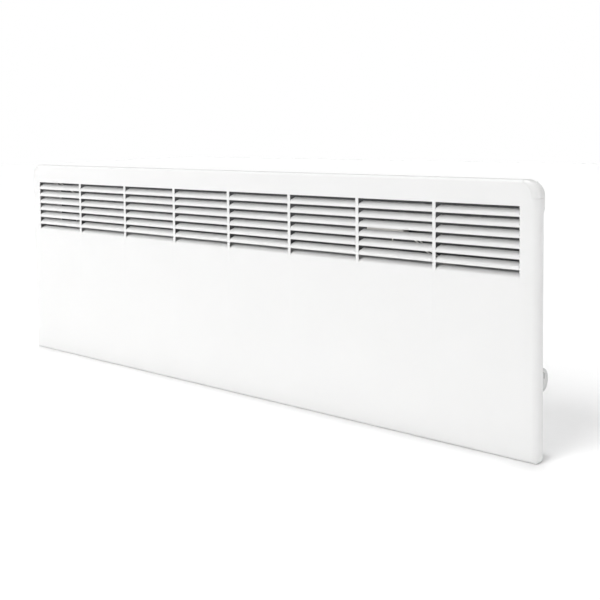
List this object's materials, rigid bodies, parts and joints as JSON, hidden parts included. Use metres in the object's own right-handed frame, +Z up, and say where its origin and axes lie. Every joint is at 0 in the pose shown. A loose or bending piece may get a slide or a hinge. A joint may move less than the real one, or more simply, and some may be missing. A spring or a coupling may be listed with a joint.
{
  "type": "panel convector heater",
  "caption": "Wall-hung electric panel convector heater with a louvred white steel front, side knob and switch, and a hook-on wall bracket.",
  "frame": {"origin": "middle of the four wall-screw holes, on the wall plane", "axes": "+X to the heater's right as a person facing it sees it, +Y into the wall, +Z up"},
  "size_m": [1.121, 0.085, 0.389],
  "materials": {
    "white_enamel": "smooth semi-gloss white powder coat",
    "white_plastic": "satin white moulding",
    "tray_steel": "white powder coat, matt inside face",
    "zinc_screws": "bright zinc plate",
    "aluminised_steel": "dull aluminised sheet",
    "dark_steel": "dull grey sheet",
    "fin_aluminium": "mill finish",
    "element_steel": "heat-darkened tube",
    "ceramic": "unglazed",
    "white_sleeve": "woven glass-fibre sleeve",
    "brown_sleeve": "silicone sleeve",
    "earth_sleeve": "green and yellow sleeve",
    "dark_plastic": "fine moulded grain",
    "ivory_plastic": "moulded",
    "knob_plastic": "satin light grey",
    "rocker_plastic": "glossy",
    "lens_amber": "translucent amber",
    "brass_screws": "bright",
    "copper_bulb": "drawn copper",
    "bracket_steel": "galvanised spangle",
    "pad_rubber": "matt",
    "latch_plastic": "glass-filled nylon"
  },
  "bodies": {
    "bracket": {"bracket_upright_left": "bracket_steel", "bracket_upright_right": "bracket_steel", "bracket_rail_upper": "bracket_steel", "bracket_rail_lower": "bracket_steel", "bracket_rivets": "zinc_screws", "bracket_pads": "pad_rubber"},
    "heater": {"front_panel": "white_enamel", "rear_tray": "tray_steel", "corner_cap_left": "white_plastic", "corner_cap_right": "white_plastic", "intake_grille": "tray_steel", "casing_screws": "zinc_screws", "inner_baffle": "aluminised_steel", "heat_shield": "aluminised_steel", "air_deflector": "dark_steel", "element_fins": "fin_aluminium", "element_sheath": "element_steel", "element_insulators": "ceramic", "element_bracket_left": "aluminised_steel", "element_bracket_right": "aluminised_steel", "overheat_limiter": "ceramic", "limiter_bracket": "aluminised_steel", "limiter_capillary": "white_sleeve", "capillary_clips": "aluminised_steel", "limiter_leads": "white_sleeve", "control_housing": "dark_plastic", "control_cover": "dark_plastic", "thermostat_body": "ivory_plastic", "switch_frame": "dark_plastic", "indicator_lens": "lens_amber", "terminal_block": "ivory_plastic", "terminal_screws": "brass_screws", "supply_leads": "brown_sleeve", "element_lead": "white_sleeve", "return_lead": "white_sleeve", "room_sensor": "copper_bulb", "sensor_clip": "aluminised_steel", "earth_stud": "zinc_screws", "earth_lead": "earth_sleeve", "cable_gland": "dark_plastic", "gland_nut": "dark_plastic"},
    "knob": {"thermostat_knob": "knob_plastic", "thermostat_shaft": "zinc_screws"},
    "rocker": {"switch_rocker": "rocker_plastic"},
    "latch_left": {"latch_lever_left": "latch_plastic", "latch_cam_left": "latch_plastic"},
    "latch_right": {"latch_lever_right": "latch_plastic", "latch_cam_right": "latch_plastic"}
  },
  "joints": [
    {"name": "heater_lift", "type": "slide", "parent": "bracket", "child": "heater", "axis": [0, 0, 1], "range_m": [0, 0.012]},
    {"name": "knob_turn", "type": "hinge", "parent": "heater", "child": "knob", "pos_m": [0.5412, -0.0485, -0.082], "axis": [-1, 0, 0], "range_deg": [0, 270]},
    {"name": "switch_rock", "type": "hinge", "parent": "heater", "child": "rocker", "pos_m": [0.5395, -0.0485, -0.03], "axis": [0, -1, 0], "range_deg": [0, 16]},
    {"name": "latch_left_turn", "type": "hinge", "parent": "bracket", "child": "latch_left", "pos_m": [-0.268, -0.029, 0.128], "axis": [0, -1, 0], "range_deg": [0, 90]},
    {"name": "latch_right_turn", "type": "hinge", "parent": "bracket", "child": "latch_right", "pos_m": [0.268, -0.029, 0.128], "axis": [0, 1, 0], "range_deg": [0, 90]}
  ]
}
